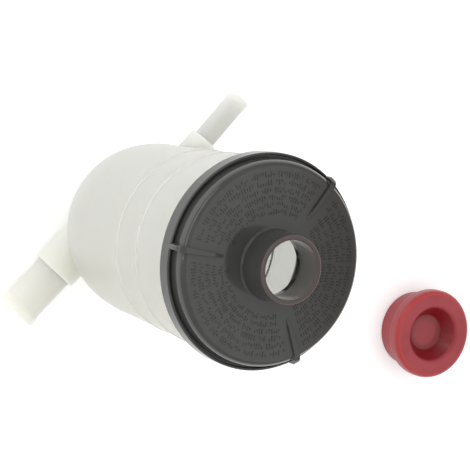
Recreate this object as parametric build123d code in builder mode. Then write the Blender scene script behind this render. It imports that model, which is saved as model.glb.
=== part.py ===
import os
from math import cos, radians, sin
from build123d import *

# Power steering reservoir: a translucent moulded tank with two hose pipes, a dark cover with
# its filler neck, the rubber filler cap lying beside it, a slosh baffle and a sump strainer.
# The tank stands upright on its sump. z = 0 is the sump's flat base, and the tank's axis is Z.

os.makedirs("parts", exist_ok=True)

# Driving dimensions in millimetres
wall = 2.5  # tank wall
clearance = 0.35  # radial gap where one moulding slips into another
cover_wall = 2.4
sump_radius = 19.5
sump_corner = 9.0
floor_z = 26.8  # underside of the tank floor, above the sump
floor_radius = 27.1  # where the flat floor turns up into the domed corner
shoulder_z = 55.1  # where the domed corner meets the drafted wall
shoulder_radius = 37.54
rim_radius = 41.31
rim_z = 134.9

# The tank: a drafted wall over a domed corner, then a narrow sump
inner_floor_z = floor_z + wall
sump_bore = sump_radius - wall
wall_slope = (rim_radius - shoulder_radius) / (rim_z - shoulder_z)
dome_width = shoulder_radius - floor_radius
dome_height = shoulder_z - floor_z

# A ledge inside the wall carries the baffle
ledge_z = 57.5
ledge_width = 2.0
ledge_height = 2.5
ledge_wall = shoulder_radius + (ledge_z - shoulder_z) * wall_slope - wall

# Thin raised lines round the outside show the lowest and highest oil level
level_low = 87.5
level_high = 105.5
level_width = 1.0
level_height = 0.3

# Suction pipe: leaves the side of the sump below the floor and slopes down from it
suction_angle = 231.1
suction_slope = -10.43  # degrees above the level
suction_offset = -8.4
suction_z = 20.9  # height of the pipe's centre line where it passes the tank's axis
suction_boss = 10.35
suction_boss_end = 36.7
suction_radius = 8.66
suction_bead = 9.35
suction_end = 61.5
suction_bore = 6.6
suction_root_bore = 7.6  # the bore is wider inside the boss, to keep the wall even
suction_root_end = 33.0
suction_taper = 9.0
suction_start = 4.5  # where the boss begins inside the sump, before the hollow is cut
suction_bore_start = 4.0

# Return pipe: enters through the domed corner and slopes up from it
return_angle = 53.1
return_slope = 8.3
return_offset = 1.7
return_z = 32.7
return_boss = 6.64
return_boss_end = 47.35
return_radius = 4.89
return_bead = 5.2
return_end = 71.7
return_bore = 3.5
return_root_bore = 4.6
return_root_end = 41.0
return_taper = 7.0
return_start = 26.0
return_bore_start = 24.0

suction_turn = radians(suction_angle)
suction_run = cos(radians(suction_slope))
suction_rise = sin(radians(suction_slope))
suction_out = Vector(cos(suction_turn) * suction_run, sin(suction_turn) * suction_run, suction_rise)
suction_side = Vector(-sin(suction_turn), cos(suction_turn), 0)
suction_origin = suction_side * suction_offset + Vector(0, 0, suction_z)
suction_plane = Plane(origin=suction_origin, x_dir=suction_out, z_dir=suction_side)
return_turn = radians(return_angle)
return_run = cos(radians(return_slope))
return_rise = sin(radians(return_slope))
return_out = Vector(cos(return_turn) * return_run, sin(return_turn) * return_run, return_rise)
return_side = Vector(-sin(return_turn), cos(return_turn), 0)
return_origin = return_side * return_offset + Vector(0, 0, return_z)
return_plane = Plane(origin=return_origin, x_dir=return_out, z_dir=return_side)

with BuildPart() as tank_cavity:
    with BuildSketch(Plane.XZ):
        with BuildLine():
            Line((0, wall), (sump_bore - sump_corner, wall))
            RadiusArc((sump_bore - sump_corner, wall), (sump_bore, wall + sump_corner), -sump_corner)
            Line((sump_bore, wall + sump_corner), (sump_bore, inner_floor_z))
            Line((sump_bore, inner_floor_z), (floor_radius, inner_floor_z))
            EllipticalCenterArc(
                (floor_radius, shoulder_z),
                dome_width - wall,
                dome_height - wall,
                start_angle=270,
                arc_size=90,
            )
            Line((shoulder_radius - wall, shoulder_z), (rim_radius - wall, rim_z))
            Line((rim_radius - wall, rim_z), (rim_radius - wall, rim_z + 1))
            Line((rim_radius - wall, rim_z + 1), (0, rim_z + 1))
            Line((0, rim_z + 1), (0, wall))
        make_face()
    revolve(axis=Axis.Z)

with BuildPart() as tank_body:
    # Outside of the tank and its sump
    with BuildSketch(Plane.XZ):
        with BuildLine():
            Line((0, 0), (sump_radius - sump_corner, 0))
            RadiusArc((sump_radius - sump_corner, 0), (sump_radius, sump_corner), -sump_corner)
            Line((sump_radius, sump_corner), (sump_radius, floor_z))
            Line((sump_radius, floor_z), (floor_radius, floor_z))
            EllipticalCenterArc(
                (floor_radius, shoulder_z), dome_width, dome_height, start_angle=270, arc_size=90
            )
            Line((shoulder_radius, shoulder_z), (rim_radius, rim_z))
            Line((rim_radius, rim_z), (0, rim_z))
            Line((0, rim_z), (0, 0))
        make_face()
    revolve(axis=Axis.Z)
    # Suction pipe: a stout boss, the hose tube and its bead
    with BuildSketch(suction_plane):
        with BuildLine():
            Line((suction_start, 0), (suction_start, suction_boss))
            Line((suction_start, suction_boss), (suction_boss_end - 0.9, suction_boss))
            RadiusArc((suction_boss_end - 0.9, suction_boss), (suction_boss_end, suction_boss - 0.9), 0.9)
            Line((suction_boss_end, suction_boss - 0.9), (suction_boss_end, suction_radius))
            Line((suction_boss_end, suction_radius), (suction_end - 5.0, suction_radius))
            Line((suction_end - 5.0, suction_radius), (suction_end - 3.2, suction_bead))
            Line((suction_end - 3.2, suction_bead), (suction_end - 1.6, suction_bead))
            RadiusArc((suction_end - 1.6, suction_bead), (suction_end, suction_bead - 1.4), 1.7)
            Line((suction_end, suction_bead - 1.4), (suction_end, 0))
            Line((suction_end, 0), (suction_start, 0))
        make_face()
    revolve(axis=Axis(suction_origin, suction_out))
    # Return pipe
    with BuildSketch(return_plane):
        with BuildLine():
            Line((return_start, 0), (return_start, return_boss))
            Line((return_start, return_boss), (return_boss_end - 0.7, return_boss))
            RadiusArc((return_boss_end - 0.7, return_boss), (return_boss_end, return_boss - 0.7), 0.7)
            Line((return_boss_end, return_boss - 0.7), (return_boss_end, return_radius))
            Line((return_boss_end, return_radius), (return_end - 4.2, return_radius))
            Line((return_end - 4.2, return_radius), (return_end - 3.0, return_bead))
            Line((return_end - 3.0, return_bead), (return_end - 1.3, return_bead))
            RadiusArc((return_end - 1.3, return_bead), (return_end, return_bead - 1.2), 1.4)
            Line((return_end, return_bead - 1.2), (return_end, 0))
            Line((return_end, 0), (return_start, 0))
        make_face()
    revolve(axis=Axis(return_origin, return_out))
    # Level lines
    for level in (level_low, level_high):
        level_radius = shoulder_radius + (level - shoulder_z) * wall_slope
        with BuildSketch(Plane.XZ):
            with BuildLine():
                Polyline(
                    (level_radius - 1, level - level_width / 2),
                    (level_radius, level - level_width / 2),
                    (level_radius + level_height, level - level_width / 4),
                    (level_radius + level_height, level + level_width / 4),
                    (level_radius, level + level_width / 2),
                    (level_radius - 1, level + level_width / 2),
                    close=True,
                )
            make_face()
        revolve(axis=Axis.Z)
    # The hollow, then the ledge for the baffle with its underside sloped for the mould
    add(tank_cavity.part, mode=Mode.SUBTRACT)
    with BuildSketch(Plane.XZ):
        with BuildLine():
            Polyline(
                (ledge_wall + 0.6, ledge_z),
                (ledge_wall - ledge_width, ledge_z),
                (ledge_wall - ledge_width, ledge_z - 0.8),
                (ledge_wall + 0.6, ledge_z - 0.8 - ledge_height),
                close=True,
            )
        make_face()
    revolve(axis=Axis.Z)
    # Pipe bores, drawn as the shape of the core pins that leave them
    with BuildSketch(suction_plane):
        with BuildLine():
            Polyline(
                (suction_bore_start, 0),
                (suction_bore_start, suction_root_bore),
                (suction_root_end, suction_root_bore),
                (suction_root_end + suction_taper, suction_bore),
                (suction_end + 1, suction_bore),
                (suction_end + 1, 0),
                close=True,
            )
        make_face()
    revolve(axis=Axis(suction_origin, suction_out), mode=Mode.SUBTRACT)
    with BuildSketch(return_plane):
        with BuildLine():
            Polyline(
                (return_bore_start, 0),
                (return_bore_start, return_root_bore),
                (return_root_end, return_root_bore),
                (return_root_end + return_taper, return_bore),
                (return_end + 1, return_bore),
                (return_end + 1, 0),
                close=True,
            )
        make_face()
    revolve(axis=Axis(return_origin, return_out), mode=Mode.SUBTRACT)

tank_body.part.label = "tank_body"
export_step(tank_body.part, "parts/tank_body.step")

# The cover: a domed face inside a raised lip, with a skirt each side of the tank's rim
outer_skirt_wall = 2.34
outer_skirt = 2.7  # how far the outer skirt reaches down past the rim
inner_skirt_wall = 2.0
inner_skirt = 4.9
seat_width = 1.51  # land of the cover on the tank's rim
rim_cover = 2.0  # thickness of the cover over the rim, under the groove
lip_width = 1.1
lip_height = 1.8
groove_width = 0.9
dome_draft = 0.4
dome_side = 4.65  # height of the dome's steep side above the groove
shoulder_width = 3.4
shoulder_height = 3.95
neck_wall = 1.92
neck_draft = 0.33
neck_height = 14.3
neck_bore = 12.0
neck_fillet = 0.9
neck_flare = 0.6  # the bore opens a little towards the cover's underside
neck_flare_height = 1.2  # above the face

lip_radius = rim_radius + clearance + outer_skirt_wall
groove_radius = lip_radius - lip_width - groove_width
crease_radius = groove_radius - dome_draft  # where the rounded shoulder meets the dome's side
flat_radius = crease_radius - shoulder_width
seat_radius = rim_radius - seat_width
inner_skirt_radius = rim_radius - wall - clearance
inner_skirt_foot = inner_skirt_radius - inner_skirt * wall_slope
skirt_bore = inner_skirt_radius - inner_skirt_wall
groove_z = rim_z + rim_cover
lip_z = groove_z + lip_height
crease_z = groove_z + dome_side
face_z = crease_z + shoulder_height  # the cover's flat face
under_z = face_z - cover_wall
skirt_z = rim_z - outer_skirt
inner_skirt_z = rim_z - inner_skirt
neck_z = face_z + neck_height
neck_tip = neck_bore + neck_wall
neck_root = neck_tip + neck_draft

rib_start = 23.5
rib_ramp = 4.0  # length over which a rib rises out of the face
rib_reach = 0.2  # how far a rib stands out past the lip
rib_height = 0.9
rib_inner_width = 1.0
rib_outer_width = 2.7
rib_count = 3
rib_angle = 171.5
rib_end = lip_radius + rib_reach
rib_round = rib_end - rib_outer_width / 2  # centre of a rib's rounded outer end

# The ribs: a ring of the rib's side view, kept only where the three tapered bars stand
with BuildPart() as cover_ribs:
    with BuildSketch(Plane.XZ):
        with BuildLine():
            Line((rib_start, face_z - 1), (rib_start, face_z + 0.1))
            Line((rib_start, face_z + 0.1), (rib_start + rib_ramp, face_z + rib_height))
            Line((rib_start + rib_ramp, face_z + rib_height), (flat_radius, face_z + rib_height))
            EllipticalCenterArc(
                (flat_radius, crease_z - 0.6),
                rib_end - flat_radius,
                face_z + rib_height - crease_z + 0.6,
                start_angle=90,
                arc_size=-90,
            )
            Line((rib_end, crease_z - 0.6), (rib_end, groove_z - 0.6))
            Line((rib_end, groove_z - 0.6), (seat_radius + 1, groove_z - 0.6))
            Line((seat_radius + 1, groove_z - 0.6), (seat_radius + 1, crease_z))
            Line((seat_radius + 1, crease_z), (flat_radius, face_z - 1))
            Line((flat_radius, face_z - 1), (rib_start, face_z - 1))
        make_face()
    revolve(axis=Axis.Z)
    with BuildSketch(Plane.XY.offset(groove_z - 1)):
        with PolarLocations(0, rib_count, start_angle=rib_angle):
            Polygon(
                (rib_start - 1, -rib_inner_width / 2),
                (rib_round, -rib_outer_width / 2),
                (rib_round, rib_outer_width / 2),
                (rib_start - 1, rib_inner_width / 2),
                align=None,
            )
        with PolarLocations(rib_round, rib_count, start_angle=rib_angle):
            Circle(rib_outer_width / 2)
    extrude(amount=face_z - groove_z + 4, mode=Mode.INTERSECT)

with BuildPart() as cover:
    with BuildSketch(Plane.XZ):
        with BuildLine():
            Line((neck_bore + neck_flare, under_z), (neck_bore, face_z + neck_flare_height))
            Line((neck_bore, face_z + neck_flare_height), (neck_bore, neck_z - 0.4))
            Line((neck_bore, neck_z - 0.4), (neck_bore + 0.4, neck_z))
            Line((neck_bore + 0.4, neck_z), (neck_tip - 0.8, neck_z))
            RadiusArc((neck_tip - 0.8, neck_z), (neck_tip, neck_z - 0.8), 0.8)
            Line((neck_tip, neck_z - 0.8), (neck_root, face_z + neck_fillet))
            RadiusArc((neck_root, face_z + neck_fillet), (neck_root + neck_fillet, face_z), -neck_fillet)
            Line((neck_root + neck_fillet, face_z), (flat_radius, face_z))
            EllipticalCenterArc(
                (flat_radius, crease_z),
                crease_radius - flat_radius,
                face_z - crease_z,
                start_angle=90,
                arc_size=-90,
            )
            Line((crease_radius, crease_z), (groove_radius, groove_z))
            Line((groove_radius, groove_z), (lip_radius - lip_width, groove_z))
            Line((lip_radius - lip_width, groove_z), (lip_radius - lip_width, lip_z - 0.3))
            Line((lip_radius - lip_width, lip_z - 0.3), (lip_radius - lip_width + 0.3, lip_z))
            Line((lip_radius - lip_width + 0.3, lip_z), (lip_radius - 0.4, lip_z))
            RadiusArc((lip_radius - 0.4, lip_z), (lip_radius, lip_z - 0.4), 0.4)
            Line((lip_radius, lip_z - 0.4), (lip_radius, skirt_z + 0.5))
            Line((lip_radius, skirt_z + 0.5), (lip_radius - 0.5, skirt_z))
            Line((lip_radius - 0.5, skirt_z), (rim_radius + clearance, skirt_z))
            Line((rim_radius + clearance, skirt_z), (rim_radius + clearance, rim_z))
            Line((rim_radius + clearance, rim_z), (seat_radius, rim_z))
            Line((seat_radius, rim_z), (seat_radius, crease_z - 0.4))
            Line((seat_radius, crease_z - 0.4), (inner_skirt_radius, crease_z + 0.9))
            Line((inner_skirt_radius, crease_z + 0.9), (inner_skirt_foot, inner_skirt_z))
            Line((inner_skirt_foot, inner_skirt_z), (skirt_bore, inner_skirt_z))
            Line((skirt_bore, inner_skirt_z), (skirt_bore, under_z))
            Line((skirt_bore, under_z), (neck_bore + neck_flare, under_z))
        make_face()
    revolve(axis=Axis.Z)
    add(cover_ribs.part)

cover.part.label = "cover"
export_step(cover.part, "parts/cover.step")

# The filler cap lies on the ground beside the tank, its dished top up
cap_x = 174.1
cap_y = -54.6
cap_height = 18.5
cap_radius = 21.2
cap_waist = 16.9
cap_skirt = 17.8
cap_plug = neck_bore - 0.15
cap_socket = neck_root + 0.1
dish_radius = 13.3
dish_floor_radius = 8.6
dish_depth = 7.5
dish_floor_z = cap_height - dish_depth

with BuildPart() as filler_cap:
    with BuildSketch(Plane.XZ.offset(-cap_y)):
        with BuildLine():
            Line((cap_x, dish_floor_z), (cap_x + dish_floor_radius - 1, dish_floor_z))
            RadiusArc(
                (cap_x + dish_floor_radius - 1, dish_floor_z),
                (cap_x + dish_floor_radius + 0.6, dish_floor_z + 1.2),
                -1.8,
            )
            Line(
                (cap_x + dish_floor_radius + 0.6, dish_floor_z + 1.2),
                (cap_x + dish_radius - 0.9, cap_height - 1.6),
            )
            RadiusArc(
                (cap_x + dish_radius - 0.9, cap_height - 1.6), (cap_x + dish_radius + 1.4, cap_height), 2.6
            )
            Line((cap_x + dish_radius + 1.4, cap_height), (cap_x + cap_radius - 2.6, cap_height))
            RadiusArc((cap_x + cap_radius - 2.6, cap_height), (cap_x + cap_radius, cap_height - 2.6), 2.6)
            Line((cap_x + cap_radius, cap_height - 2.6), (cap_x + cap_radius, cap_height - 5.4))
            RadiusArc(
                (cap_x + cap_radius, cap_height - 5.4), (cap_x + cap_radius - 1.8, cap_height - 7.2), 1.8
            )
            Line((cap_x + cap_radius - 1.8, cap_height - 7.2), (cap_x + cap_waist, cap_height - 7.8))
            Line((cap_x + cap_waist, cap_height - 7.8), (cap_x + cap_waist, 8.8))
            Line((cap_x + cap_waist, 8.8), (cap_x + cap_skirt, 7.8))
            Line((cap_x + cap_skirt, 7.8), (cap_x + cap_skirt, 0.8))
            RadiusArc((cap_x + cap_skirt, 0.8), (cap_x + cap_skirt - 0.8, 0), 0.8)
            Line((cap_x + cap_skirt - 0.8, 0), (cap_x + cap_socket, 0))
            Line((cap_x + cap_socket, 0), (cap_x + cap_socket, 14.4))
            Line((cap_x + cap_socket, 14.4), (cap_x + cap_plug, 14.4))
            Line((cap_x + cap_plug, 14.4), (cap_x + cap_plug, 2.6))
            Line((cap_x + cap_plug, 2.6), (cap_x + cap_plug - 0.8, 1.6))
            Line((cap_x + cap_plug - 0.8, 1.6), (cap_x + cap_plug - 2.2, 1.6))
            Line((cap_x + cap_plug - 2.2, 1.6), (cap_x + cap_plug - 2.4, dish_floor_z - 2.2))
            Line((cap_x + cap_plug - 2.4, dish_floor_z - 2.2), (cap_x, dish_floor_z - 2.2))
            Line((cap_x, dish_floor_z - 2.2), (cap_x, dish_floor_z))
        make_face()
    revolve(axis=Axis((cap_x, cap_y, 0), (0, 0, 1)))

filler_cap.part.label = "filler_cap"
export_step(filler_cap.part, "parts/filler_cap.step")

# The baffle stands on the ledge, above the return pipe, and keeps the oil from frothing
baffle_z = ledge_z
baffle_plate = 1.8
baffle_rim_height = 6.0
baffle_hole = 16.0
baffle_rim = 1.5
baffle_collar = 4.0
baffle_top = baffle_z + baffle_rim_height
baffle_foot_radius = ledge_wall - clearance
baffle_top_radius = baffle_foot_radius + (baffle_top - baffle_z) * wall_slope
vent_count = 8
vent_radius = 3.2
vent_circle_radius = 26.0

with BuildPart() as baffle:
    with BuildSketch(Plane.XZ):
        with BuildLine():
            Polyline(
                (baffle_hole, baffle_z),
                (baffle_foot_radius, baffle_z),
                (baffle_top_radius, baffle_top),
                (baffle_top_radius - baffle_rim, baffle_top),
                (baffle_foot_radius - baffle_rim, baffle_z + baffle_plate),
                (baffle_hole + baffle_rim, baffle_z + baffle_plate),
                (baffle_hole + baffle_rim, baffle_z + baffle_collar),
                (baffle_hole, baffle_z + baffle_collar),
                close=True,
            )
        make_face()
    revolve(axis=Axis.Z)
    with BuildSketch(Plane.XY.offset(baffle_z)):
        with PolarLocations(vent_circle_radius, vent_count):
            Circle(vent_radius)
    extrude(amount=baffle_plate, mode=Mode.SUBTRACT)

baffle.part.label = "baffle"
export_step(baffle.part, "parts/baffle.step")

# The strainer sits in the mouth of the sump, above the suction bore
strainer_land = 3.1  # width of the flange's seat on the tank floor
strainer_flange = 1.6
strainer_depth = 5.8  # how far the strainer reaches down into the sump
strainer_radius = sump_bore - clearance
strainer_wall = 1.5
strainer_flange_radius = sump_bore + strainer_land
strainer_z = inner_floor_z - strainer_depth
strainer_top = inner_floor_z + strainer_flange
spoke_width = 1.6
spoke_height = 1.6
hub_radius = 2.6
mesh_z = strainer_z + spoke_height
mesh_thickness = 0.5
mesh_radius = strainer_radius - strainer_wall - 0.3
mesh_pitch = 2.4
mesh_gap = 1.7

with BuildPart() as strainer_frame:
    with BuildSketch(Plane.XY.offset(inner_floor_z)):
        Circle(strainer_flange_radius)
        Circle(strainer_radius - strainer_wall, mode=Mode.SUBTRACT)
    extrude(amount=strainer_flange)
    with BuildSketch(Plane.XY.offset(strainer_z)):
        Circle(strainer_radius)
        Circle(strainer_radius - strainer_wall, mode=Mode.SUBTRACT)
    extrude(amount=strainer_top - strainer_z)
    with BuildSketch(Plane.XY.offset(strainer_z)):
        Circle(hub_radius)
        Rectangle(2 * (strainer_radius - 0.5), spoke_width)
        Rectangle(spoke_width, 2 * (strainer_radius - 0.5))
    extrude(amount=spoke_height)

strainer_frame.part.label = "strainer_frame"
export_step(strainer_frame.part, "parts/strainer_frame.step")

with BuildPart() as strainer_mesh:
    with BuildSketch(Plane.XY.offset(mesh_z)):
        Circle(mesh_radius)
        with GridLocations(mesh_pitch, mesh_pitch, 11, 11) as grid:
            open_cells = [
                place
                for place in grid.local_locations
                if place.position.length < mesh_radius - mesh_gap
            ]
        with Locations(*open_cells):
            Rectangle(mesh_gap, mesh_gap, mode=Mode.SUBTRACT)
    extrude(amount=mesh_thickness)

strainer_mesh.part.label = "strainer_mesh"
export_step(strainer_mesh.part, "parts/strainer_mesh.step")
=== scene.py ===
import math
import random

import bmesh
import bpy
from mathutils import Matrix, Vector


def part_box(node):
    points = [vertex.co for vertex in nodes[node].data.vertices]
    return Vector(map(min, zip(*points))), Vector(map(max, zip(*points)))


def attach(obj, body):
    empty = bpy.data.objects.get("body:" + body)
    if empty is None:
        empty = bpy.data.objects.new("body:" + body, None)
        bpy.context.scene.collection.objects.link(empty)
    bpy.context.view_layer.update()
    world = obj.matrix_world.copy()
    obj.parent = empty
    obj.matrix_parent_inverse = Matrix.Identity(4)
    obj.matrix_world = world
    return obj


# Power steering reservoir: the looks of the translucent tank, the dark ribbed cover and the
# red rubber cap, with the studio around them. Metres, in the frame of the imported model.
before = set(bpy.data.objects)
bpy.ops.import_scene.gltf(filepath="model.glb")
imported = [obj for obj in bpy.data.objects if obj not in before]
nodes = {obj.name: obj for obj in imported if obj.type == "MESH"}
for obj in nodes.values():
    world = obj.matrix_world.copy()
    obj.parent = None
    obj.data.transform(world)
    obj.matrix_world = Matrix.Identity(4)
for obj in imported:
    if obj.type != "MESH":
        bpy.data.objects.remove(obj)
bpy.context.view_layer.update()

MM = 0.001
EDGE_ROUNDING = 0.35 * MM  # moulded edges of the cover, rounded in its shading

WALL_SCATTER = 24 * MM  # how far light travels in the tank's wall, and in its pipes
PIPE_SCATTER = 10 * MM

# Places read from the frame
neck_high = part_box("cover")[1]
NECK_TOP = neck_high.z
NECK_HEIGHT = 14.3 * MM  # above the middle of the cover's face
NECK_RADIUS = 13.5 * MM  # out to where the rim's corner begins
NECK_BORE = 12.2 * MM
FACE_Z = NECK_TOP - NECK_HEIGHT
LEVEL_LINES = (FACE_Z - 58 * MM, FACE_Z - 40 * MM)  # raised round the tank
FLOOR_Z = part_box("strainer_frame")[1].z
cap_low, cap_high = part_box("filler_cap")
CAP_MIDDLE = (cap_low + cap_high) / 2
CAP_RADIUS = (cap_high.x - cap_low.x) / 2
DISH_RADIUS = 13.2 * MM

# The pipes leave the tank under its floor, or beside it below this height
PIPE_HEIGHT = 52 * MM
TANK_RADIUS = 38.5 * MM

# The camera looks down on the cover at the photograph's angle, through a long lens
CAMERA_AZIMUTH = 166.64
CAMERA_ELEVATION = 57.852
CAMERA_DISTANCE = 0.98889
FACE_RIGHT_OF_CENTRE = 14.94 * MM
FACE_BELOW_CENTRE = 11.76 * MM
IMAGE_SIZE = 470
FOCAL_PIXELS = 2500
SENSOR_WIDTH = 36.0


def direction(azimuth, elevation):
    """Unit vector at that azimuth and elevation, in degrees."""
    a = math.radians(azimuth)
    e = math.radians(elevation)
    return Vector((math.cos(e) * math.cos(a), math.cos(e) * math.sin(a), math.sin(e)))


BACK = direction(CAMERA_AZIMUTH, CAMERA_ELEVATION)
UP = BACK.cross(Vector((1, 0, 0))).normalized()
RIGHT = UP.cross(BACK)
MIRROR = Vector((-BACK.x, -BACK.y, BACK.z))


# Side of the tank that its moulding's tint changes towards, and side of the cover darkened towards
# with painted shade
SUCTION_SIDE = direction(231, 0)
PAINTED_SHADE_SIDE = direction(5, 0)


def make_camera():
    """The photograph's view: the cover's face centre lies right of and below the middle."""
    face = Vector((0, 0, FACE_Z))
    place = face + BACK * CAMERA_DISTANCE - RIGHT * FACE_RIGHT_OF_CENTRE + UP * FACE_BELOW_CENTRE
    data = bpy.data.cameras.new("camera")
    data.sensor_width = SENSOR_WIDTH
    data.lens = FOCAL_PIXELS / IMAGE_SIZE * SENSOR_WIDTH
    data.clip_start = 0.01
    data.clip_end = 20
    camera = bpy.data.objects.new("camera", data)
    camera.matrix_world = Matrix(
        (
            (RIGHT.x, UP.x, BACK.x, place.x),
            (RIGHT.y, UP.y, BACK.y, place.y),
            (RIGHT.z, UP.z, BACK.z, place.z),
            (0, 0, 0, 1),
        )
    )
    bpy.context.scene.collection.objects.link(camera)
    bpy.context.scene.camera = camera


class Nodes:
    """Short calls for building one material's node tree."""

    def __init__(self, name):
        self.material = bpy.data.materials.new(name)
        self.material.use_nodes = True
        self.tree = self.material.node_tree
        self.tree.nodes.clear()
        self.output = self.add("ShaderNodeOutputMaterial")

    def add(self, kind, **values):
        node = self.tree.nodes.new(kind)
        for key, value in values.items():
            setattr(node, key, value)
        return node

    def link(self, source, target):
        self.tree.links.new(source, target)

    def position(self):
        """The point in the model's frame, in metres."""
        return self.add("ShaderNodeNewGeometry").outputs["Position"]

    def xyz(self):
        split = self.add("ShaderNodeSeparateXYZ")
        self.link(self.position(), split.inputs[0])
        return split.outputs

    def math(self, operation, *inputs):
        node = self.add("ShaderNodeMath", operation=operation)
        for socket, value in zip(node.inputs, inputs):
            if isinstance(value, (int, float)):
                socket.default_value = value
            else:
                self.link(value, socket)
        return node.outputs[0]

    def radius(self, axis=(0.0, 0.0)):
        """Distance from an upright axis, the tank's or another, in metres."""
        x, y, _ = self.xyz()
        x = self.math("SUBTRACT", x, axis[0])
        y = self.math("SUBTRACT", y, axis[1])
        return self.math("SQRT", self.math("ADD", self.both(x, x), self.both(y, y)))

    def both(self, first, second):
        """The product: of two masks, where both hold."""
        return self.math("MULTIPLY", first, second)

    def along(self, way):
        """Distance along a direction from the tank's axis, heights left out."""
        x, y, _ = self.xyz()
        return self.math("ADD", self.both(x, way.x), self.both(y, way.y))

    def noise(self, scale, detail):
        node = self.add("ShaderNodeTexNoise")
        node.inputs["Scale"].default_value = scale
        node.inputs["Detail"].default_value = detail
        self.link(self.position(), node.inputs["Vector"])
        return node.outputs["Fac"]

    def span(self, value, low, high, to_low=0.0, to_high=1.0):
        """Maps low..high onto to_low..to_high, smoothly and clamped."""
        node = self.add("ShaderNodeMapRange", interpolation_type="SMOOTHSTEP")
        self.link(value, node.inputs["Value"])
        numbers = {"From Min": low, "From Max": high, "To Min": to_low, "To Max": to_high}
        for name, number in numbers.items():
            node.inputs[name].default_value = number
        return node.outputs["Result"]

    def band(self, value, centre, half, edge):
        """1 within half of centre, falling to 0 over edge."""
        away = self.math("ABSOLUTE", self.math("SUBTRACT", value, centre))
        return self.span(away, half, half + edge, 1.0, 0.0)

    def mix(self, factor, first, second):
        node = self.add("ShaderNodeMix", data_type="RGBA")
        for index, value in ((0, factor), (6, first), (7, second)):
            socket = node.inputs[index]
            if isinstance(value, (int, float)):
                socket.default_value = value
            elif isinstance(value, tuple):
                socket.default_value = (*value, 1.0)
            else:
                self.link(value, socket)
        return node.outputs[2]

    def bump(self, height, distance, strength, normal=None):
        node = self.add("ShaderNodeBump")
        if normal is not None:
            self.link(normal, node.inputs["Normal"])
        node.inputs["Strength"].default_value = strength
        node.inputs["Distance"].default_value = distance
        self.link(height, node.inputs["Height"])
        return node.outputs["Normal"]

    def principled(self, **sockets):
        node = self.add("ShaderNodeBsdfPrincipled")
        for name, value in sockets.items():
            socket = node.inputs[name.replace("_", " ")]
            if isinstance(value, (int, float)):
                socket.default_value = value
            elif isinstance(value, tuple):
                whole = len(value) == len(socket.default_value)
                socket.default_value = value if whole else (*value, 1.0)
            else:
                self.link(value, socket)
        self.link(node.outputs[0], self.output.inputs["Surface"])
        return node


def tank_material():
    """Milky translucent plastic: clearer in the wall, denser in the pipes, warmer on one side."""
    n = Nodes("tank_plastic")
    z = n.xyz()[2]
    cloud = n.noise(30, 3.0)
    base = n.mix(n.span(cloud, 0.35, 0.65), (0.81, 0.815, 0.65), (0.83, 0.835, 0.68))
    warm = n.mix(n.span(n.along(SUCTION_SIDE), 15 * MM, 55 * MM), base, (0.83, 0.82, 0.55))
    lines = n.math("MAXIMUM", *(n.band(z, level, 0.4 * MM, 0.5 * MM) for level in LEVEL_LINES))
    wall = n.mix(lines, warm, (0.575, 0.575, 0.53))
    below = n.span(z, FLOOR_Z - 6 * MM, FLOOR_Z - 3 * MM, 1.0, 0.0)
    outside = n.span(n.radius(), TANK_RADIUS, TANK_RADIUS + 2.5 * MM)
    beside = n.both(outside, n.span(z, PIPE_HEIGHT + 3 * MM, PIPE_HEIGHT))
    pipes = n.math("MAXIMUM", below, beside)
    suction = n.span(n.along(SUCTION_SIDE), 15 * MM, 45 * MM)
    dense = n.mix(suction, (0.70, 0.70, 0.65), (0.70, 0.695, 0.625))
    colour = n.mix(pipes, wall, dense)
    grain = n.noise(2600, 2.0)
    n.principled(
        Base_Color=colour,
        Roughness=n.span(cloud, 0.3, 0.7, 0.30, 0.38),
        IOR=1.49,
        Subsurface_Weight=n.span(lines, 0.0, 1.0, 1.0, 0.15),
        Subsurface_Radius=(1.0, 1.0, 1.0),
        Subsurface_Scale=n.span(pipes, 0.0, 1.0, WALL_SCATTER, PIPE_SCATTER),
        Subsurface_Anisotropy=0.2,
        Normal=n.bump(grain, 0.02 * MM, 0.3),
    )
    return n.material


def cover_material():
    """Dark grey glossy plastic, with painted shade darker and browner towards one side, a painted
    highlight at the neck's rim and painted light on the wall of its bore.
    """
    n = Nodes("cover_plastic")
    z = n.xyz()[2]
    away = n.radius()
    cloud = n.noise(60, 4.0)
    grey = n.mix(n.span(cloud, 0.3, 0.7), (0.042, 0.042, 0.041), (0.050, 0.050, 0.048))
    # Painted shade: the face grows darker and browner towards one side
    base = n.mix(n.span(n.along(PAINTED_SHADE_SIDE), 0.0, 40 * MM), grey, (0.018, 0.014, 0.011))
    # Painted light: the wall of the neck's bore is lighter and olive, standing in for light reflected
    # up from the tank's inside
    inside = n.both(n.span(away, NECK_BORE + 0.4 * MM, NECK_BORE), n.span(z, FACE_Z, FACE_Z + 4 * MM))
    bore_painted_light = n.mix(inside, base, (0.075, 0.069, 0.060))
    # Painted highlight: lighter, pinkish lines along the outer and inner edges of the neck's rim
    outer = n.band(away, NECK_RADIUS, 0.2 * MM, 0.3 * MM)
    inner = n.band(away, NECK_BORE, 0.1 * MM, 0.3 * MM)
    near_top = n.span(z, NECK_TOP - 1.6 * MM, NECK_TOP - 0.3 * MM)
    rim_highlight = n.both(n.math("MAXIMUM", outer, inner), near_top)
    colour = n.mix(rim_highlight, bore_painted_light, (0.085, 0.050, 0.050))
    grain = n.noise(2400, 3.0)
    rounded = n.add("ShaderNodeBevel", samples=6)
    rounded.inputs["Radius"].default_value = EDGE_ROUNDING
    n.principled(
        Base_Color=colour,
        Roughness=n.span(cloud, 0.3, 0.7, 0.09, 0.14),
        IOR=1.52,
        Normal=n.bump(grain, 0.02 * MM, 0.3, rounded.outputs[0]),
    )
    return n.material


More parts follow.
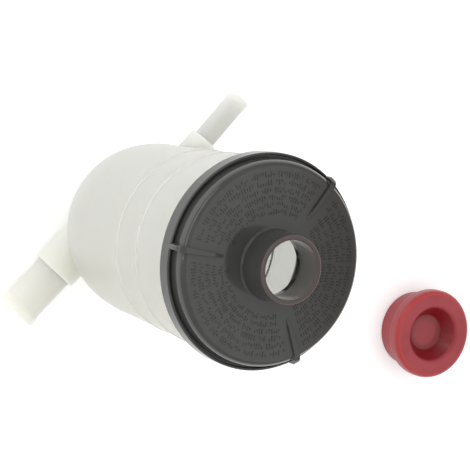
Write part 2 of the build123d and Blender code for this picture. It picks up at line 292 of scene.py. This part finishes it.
def rubber_material():
    """Red rubber, with a painted highlight along the ring's edge and painted shade on the wall of the
    dish.
    """
    n = Nodes("cap_rubber")
    z = n.xyz()[2]
    away = n.radius((CAP_MIDDLE.x, CAP_MIDDLE.y))
    cloud = n.noise(70, 4.0)
    base = n.mix(n.span(cloud, 0.3, 0.7), (0.27, 0.014, 0.022), (0.32, 0.022, 0.032))
    below_top = n.span(z, cap_high.z, cap_high.z - 1.5 * MM)
    dish = n.both(n.span(away, DISH_RADIUS, DISH_RADIUS - 1.2 * MM), below_top)
    # Painted shade: the dish's sloping wall is darker than its floor
    wall = n.both(dish, n.span(away, 5 * MM, 8 * MM))
    # Painted highlight: the ring's rounded outer edge is lighter and more orange
    corner = n.band(away, CAP_RADIUS - 1.2 * MM, 0.4 * MM, 0.8 * MM)
    edge = n.both(corner, n.span(z, cap_high.z - 4 * MM, cap_high.z - 2 * MM))
    highlit_ring = n.mix(edge, base, (0.40, 0.026, 0.024))
    colour = n.mix(wall, highlit_ring, (0.20, 0.004, 0.008))
    grain = n.noise(2200, 3.0)
    n.principled(
        Base_Color=colour,
        Roughness=n.span(cloud, 0.3, 0.7, 0.28, 0.40),
        IOR=1.62,
        Normal=n.bump(grain, 0.04 * MM, 0.4),
    )
    return n.material


def inner_material():
    """White plastic of the pieces inside the tank."""
    n = Nodes("inner_plastic")
    cloud = n.noise(80, 3.0)
    colour = n.mix(n.span(cloud, 0.3, 0.7), (0.80, 0.80, 0.76), (0.86, 0.86, 0.82))
    n.principled(
        Base_Color=colour,
        Roughness=0.42,
        IOR=1.49,
        Subsurface_Weight=1.0,
        Subsurface_Radius=(1.0, 0.95, 0.8),
        Subsurface_Scale=3 * MM,
        Normal=n.bump(n.noise(2400, 2.0), 0.03 * MM, 0.3),
    )
    return n.material


def mesh_material():
    """Cream nylon of the strainer."""
    n = Nodes("mesh_nylon")
    thread = n.noise(1800, 2.0)
    colour = n.mix(thread, (0.66, 0.64, 0.55), (0.78, 0.76, 0.68))
    n.principled(Base_Color=colour, Roughness=0.6, IOR=1.5, Normal=n.bump(thread, 0.05 * MM, 0.5))
    return n.material


def dress(name, material):
    """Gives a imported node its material."""
    data = nodes[name].data
    data.materials.clear()
    data.materials.append(material)
    for polygon in data.polygons:
        polygon.material_index = 0


# Raised bars on the cover's face, in rows between the ribs: (row radius, bar length, pitch)
RIB_ANGLES = (171.5, 291.5, 51.5)
BAR_ROWS = (
    (36.2, 2.3, 1.25),
    (33.0, 2.3, 1.25),
    (29.9, 2.2, 1.2),
    (26.9, 2.1, 1.15),
    (24.0, 2.0, 1.15),
    (21.2, 2.0, 1.1),
)
BAR_WIDTH = 0.5
BAR_HEIGHT = 0.28
BAR_CHAMFER = 0.14
ROW_MARGIN = 4.5
BAR_SHARES = ((0.0, 1.0), (0.0, 1.0), (0.45, 1.0), (0.0, 0.5), (0.3, 0.75))


def add_bar(shape, near, far, angle):
    """One raised bar from one radius to another, with sloped sides."""
    place = Matrix.Rotation(angle, 4, "Z") @ Matrix.Translation(((near + far) / 2 * MM, 0, FACE_Z))
    rings = []
    for height, inset in ((-0.05 * MM, 0.0), (BAR_HEIGHT * MM, BAR_CHAMFER)):
        half_l = ((far - near) / 2 - inset) * MM
        half_w = (BAR_WIDTH / 2 - inset) * MM
        corners = ((-half_l, -half_w), (half_l, -half_w), (half_l, half_w), (-half_l, half_w))
        rings.append([shape.verts.new(place @ Vector((x, y, height))) for x, y in corners])
    low, high = rings
    shape.faces.new(high)
    shape.faces.new(low[::-1])
    for i in range(4):
        j = (i + 1) % 4
        shape.faces.new((low[i], low[j], high[j], high[i]))


def make_relief(material):
    """Rows of raised bars in groups, whole and part length, between the ribs of the cover."""
    draw = random.Random(7)
    shape = bmesh.new()
    for rib in RIB_ANGLES:
        for row, length, pitch in BAR_ROWS:
            margin = math.degrees(ROW_MARGIN / row)
            angle = rib + margin
            stop = rib + 120 - margin
            step = math.degrees(pitch / row)
            while angle < stop:
                for _ in range(draw.randint(3, 10)):
                    if angle > stop:
                        break
                    first, last = draw.choice(BAR_SHARES)
                    start = row - length / 2
                    add_bar(shape, start + first * length, start + last * length, math.radians(angle))
                    angle += step
                angle += step
    data = bpy.data.meshes.new("cover_relief")
    shape.to_mesh(data)
    shape.free()
    data.materials.append(material)
    relief = bpy.data.objects.new("cover_relief", data)
    bpy.context.scene.collection.objects.link(relief)
    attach(relief, "root")


# The studio: even soft light, a white backdrop where the cover's face looks, a low side panel
# and a narrow strip that draws a line along rounded edges
FLOOR_SIZE = 12.0
FLOOR_GAP = 0.2 * MM
FLOOR_GLOW = 0.2
SOFT_LEVEL = 1.06
BACKDROP_LEVEL = 0.88
BACKDROP_EDGE = (0.6, 0.85)  # cosines from the backdrop's middle, where it fades into the room
ROOM_LEVEL = 0.36
KEY_POWER = 1.7
SIDE_POWER = 0.2
STRIP_POWER = 0.75
LIGHT_AZIMUTH = 150


def floor_material():
    """Pale floor that reads as white to the camera and in reflections, and keeps its shadow."""
    n = Nodes("floor")
    shade = n.add("ShaderNodeBsdfDiffuse")
    shade.inputs["Color"].default_value = (0.93, 0.93, 0.93, 1)
    glow = n.add("ShaderNodeEmission")
    glow.inputs["Color"].default_value = (1, 1, 1, 1)
    path = n.add("ShaderNodeLightPath")
    seen = n.math("ADD", path.outputs["Is Camera Ray"], path.outputs["Is Glossy Ray"])
    seen = n.math("MINIMUM", n.math("ADD", seen, path.outputs["Is Transmission Ray"]), 1.0)
    n.link(n.math("MULTIPLY", seen, FLOOR_GLOW), glow.inputs["Strength"])
    both = n.add("ShaderNodeAddShader")
    n.link(shade.outputs[0], both.inputs[0])
    n.link(glow.outputs[0], both.inputs[1])
    n.link(both.outputs[0], n.output.inputs["Surface"])
    return n.material


def make_floor():
    half = FLOOR_SIZE / 2
    data = bpy.data.meshes.new("floor")
    corners = [(-half, -half, 0), (half, -half, 0), (half, half, 0), (-half, half, 0)]
    data.from_pydata(corners, [], [(0, 1, 2, 3)])
    data.materials.append(floor_material())
    floor = bpy.data.objects.new("floor", data)
    floor.location.z = -FLOOR_GAP
    bpy.context.scene.collection.objects.link(floor)


def make_world():
    """White to the camera, even for soft light, and a backdrop and a darker room in reflections."""
    world = bpy.data.worlds.new("world")
    world.use_nodes = True
    tree = world.node_tree
    tree.nodes.clear()
    path = tree.nodes.new("ShaderNodeLightPath")

    def ramp(value, limits, ends):
        node = tree.nodes.new("ShaderNodeMapRange")
        node.interpolation_type = "SMOOTHSTEP"
        tree.links.new(value, node.inputs["Value"])
        node.inputs["From Min"].default_value, node.inputs["From Max"].default_value = limits
        for name, end in (("To Min", ends[0]), ("To Max", ends[1])):
            if isinstance(end, float):
                node.inputs[name].default_value = end
            else:
                tree.links.new(end, node.inputs[name])
        return node.outputs["Result"]

    toward = tree.nodes.new("ShaderNodeVectorMath")
    toward.operation = "DOT_PRODUCT"
    toward.inputs[1].default_value = MIRROR
    tree.links.new(tree.nodes.new("ShaderNodeTexCoord").outputs["Generated"], toward.inputs[0])
    room = ramp(toward.outputs["Value"], BACKDROP_EDGE, (ROOM_LEVEL, BACKDROP_LEVEL))
    mirrored = ramp(path.outputs["Is Glossy Ray"], (0.0, 1.0), (SOFT_LEVEL, room))
    level = ramp(path.outputs["Is Camera Ray"], (0.0, 1.0), (mirrored, 1.0))
    background = tree.nodes.new("ShaderNodeBackground")
    background.inputs["Color"].default_value = (1, 1, 1, 1)
    tree.links.new(level, background.inputs["Strength"])
    output = tree.nodes.new("ShaderNodeOutputWorld")
    tree.links.new(background.outputs[0], output.inputs["Surface"])
    bpy.context.scene.world = world


def soft_light(name, way, target_z, distance, size, power, glossy=True):
    """A rectangular softbox that faces the tank's axis at a height."""
    data = bpy.data.lights.new(name, "AREA")
    data.shape = "RECTANGLE"
    data.size, data.size_y = size
    data.energy = power
    light = bpy.data.objects.new(name, data)
    light.location = Vector((0, 0, target_z)) + way * distance
    light.rotation_euler = way.to_track_quat("Z", "Y").to_euler()
    light.visible_glossy = glossy
    bpy.context.scene.collection.objects.link(light)


def make_lights():
    key = direction(LIGHT_AZIMUTH, 62)
    side = direction(LIGHT_AZIMUTH, 0)
    strip = direction(LIGHT_AZIMUTH, 22)
    soft_light("key", key, FACE_Z / 2, 1.2, (1.2, 1.2), KEY_POWER, glossy=False)
    soft_light("side", side, 0.11, 0.48, (0.75, 0.2), SIDE_POWER)
    soft_light("strip", strip, FACE_Z, 0.6, (0.8, 0.035), STRIP_POWER)


make_camera()
cover_look = cover_material()
dress("tank_body", tank_material())
dress("cover", cover_look)
dress("filler_cap", rubber_material())
inner_look = inner_material()
dress("baffle", inner_look)
dress("strainer_frame", inner_look)
dress("strainer_mesh", mesh_material())
make_relief(cover_look)
make_floor()
make_world()
make_lights()
bpy.context.scene.view_settings.view_transform = "Standard"
